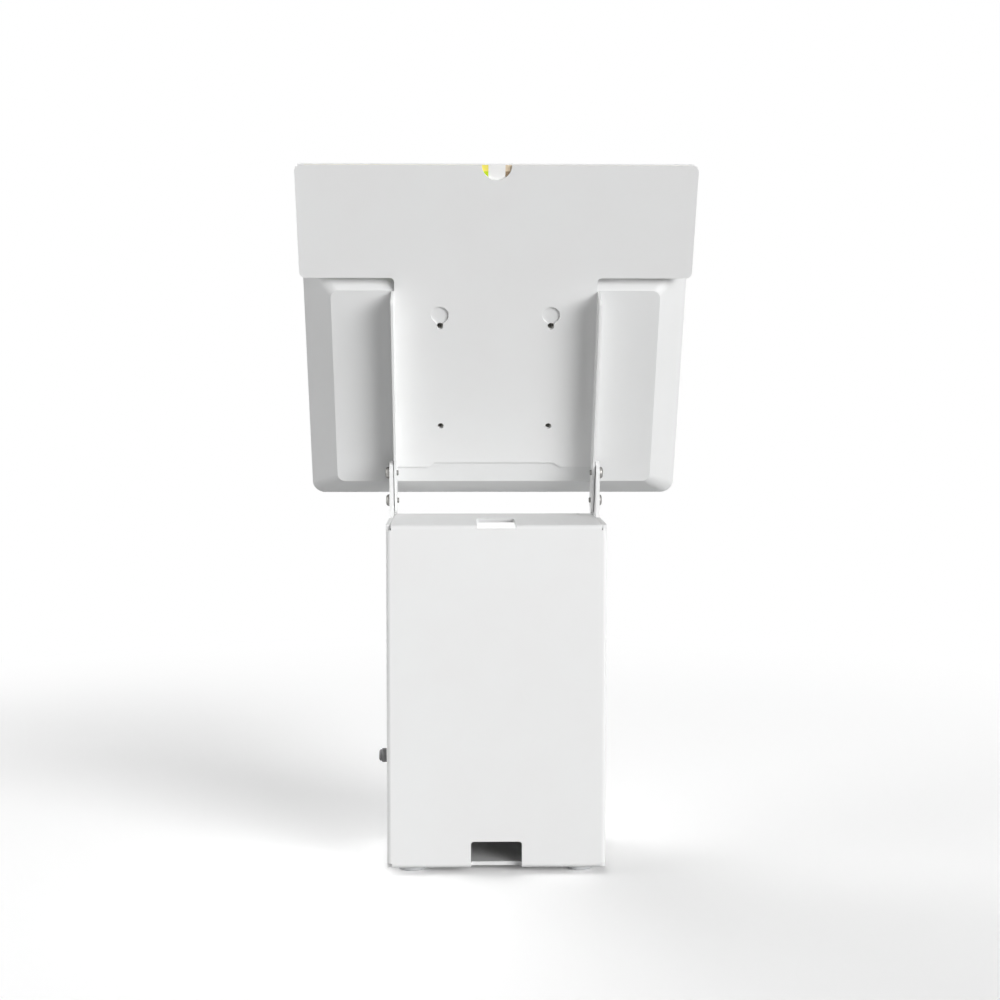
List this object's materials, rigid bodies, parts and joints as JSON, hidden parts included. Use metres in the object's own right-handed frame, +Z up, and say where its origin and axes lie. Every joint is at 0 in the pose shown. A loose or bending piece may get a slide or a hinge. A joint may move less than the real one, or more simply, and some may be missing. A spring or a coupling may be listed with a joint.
{
  "type": "tablet holder",
  "caption": "Freestanding sheet-metal tablet holder: lockable folded base with a door, tilting head with a chamfered tablet housing, and a header with a slide-in card.",
  "frame": {"origin": "on the table, in the middle of the base's footprint", "axes": "+Z up, +Y to the rear of the holder, where the cable slots are, +X across, to the lock's side"},
  "size_m": [0.2616, 0.1337, 0.469],
  "materials": {
    "white_steel": "satin powder coat",
    "white_plastic": "satin",
    "foot_rubber": "matte",
    "bumper_rubber": "matte",
    "lock_metal": "dark satin",
    "zinc": "zinc plated",
    "insert_metal": "nickel-plated",
    "nylon": "natural nylon",
    "foam": "closed-cell foam",
    "clear_acrylic": "clear",
    "spacer_plastic": "satin",
    "card_print": "printed"
  },
  "bodies": {
    "base": {"base_shell": "white_steel", "rubber_feet": "foot_rubber", "lock_body": "lock_metal", "lock_nut": "zinc", "door_pins": "zinc", "door_washers": "nylon", "door_bumpers": "bumper_rubber"},
    "door": {"front_door": "white_steel"},
    "lock": {"lock_plug": "lock_metal", "lock_cam": "zinc", "cam_screw": "zinc"},
    "head": {"head_bracket": "white_steel", "tablet_housing": "white_plastic", "thread_inserts": "insert_metal", "front_bezel": "white_plastic", "bezel_screws": "zinc", "tablet_pads": "foam", "header_spacer": "spacer_plastic", "header_cover": "clear_acrylic", "pivot_screws": "zinc", "tilt_screws": "zinc", "tilt_washers": "nylon"},
    "card": {"insert_card": "card_print"}
  },
  "joints": [
    {"name": "head_tilt", "type": "hinge", "parent": "base", "child": "head", "pos_m": [0, -0.0398, 0.2442], "axis": [-1, 0, 0], "range_deg": [-6, 6]},
    {"name": "door_swing", "type": "hinge", "parent": "base", "child": "door", "pos_m": [-0.06, -0.0435, 0.119], "axis": [0, 0, -1], "range_deg": [0, 105]},
    {"name": "lock_turn", "type": "hinge", "parent": "base", "child": "lock", "pos_m": [0.073, -0.024, 0.065], "axis": [-1, 0, 0], "range_deg": [0, 90]},
    {"name": "card_slide", "type": "slide", "parent": "head", "child": "card", "axis": [0, 0.4195, 0.9078], "range_m": [0, 0.065]}
  ]
}
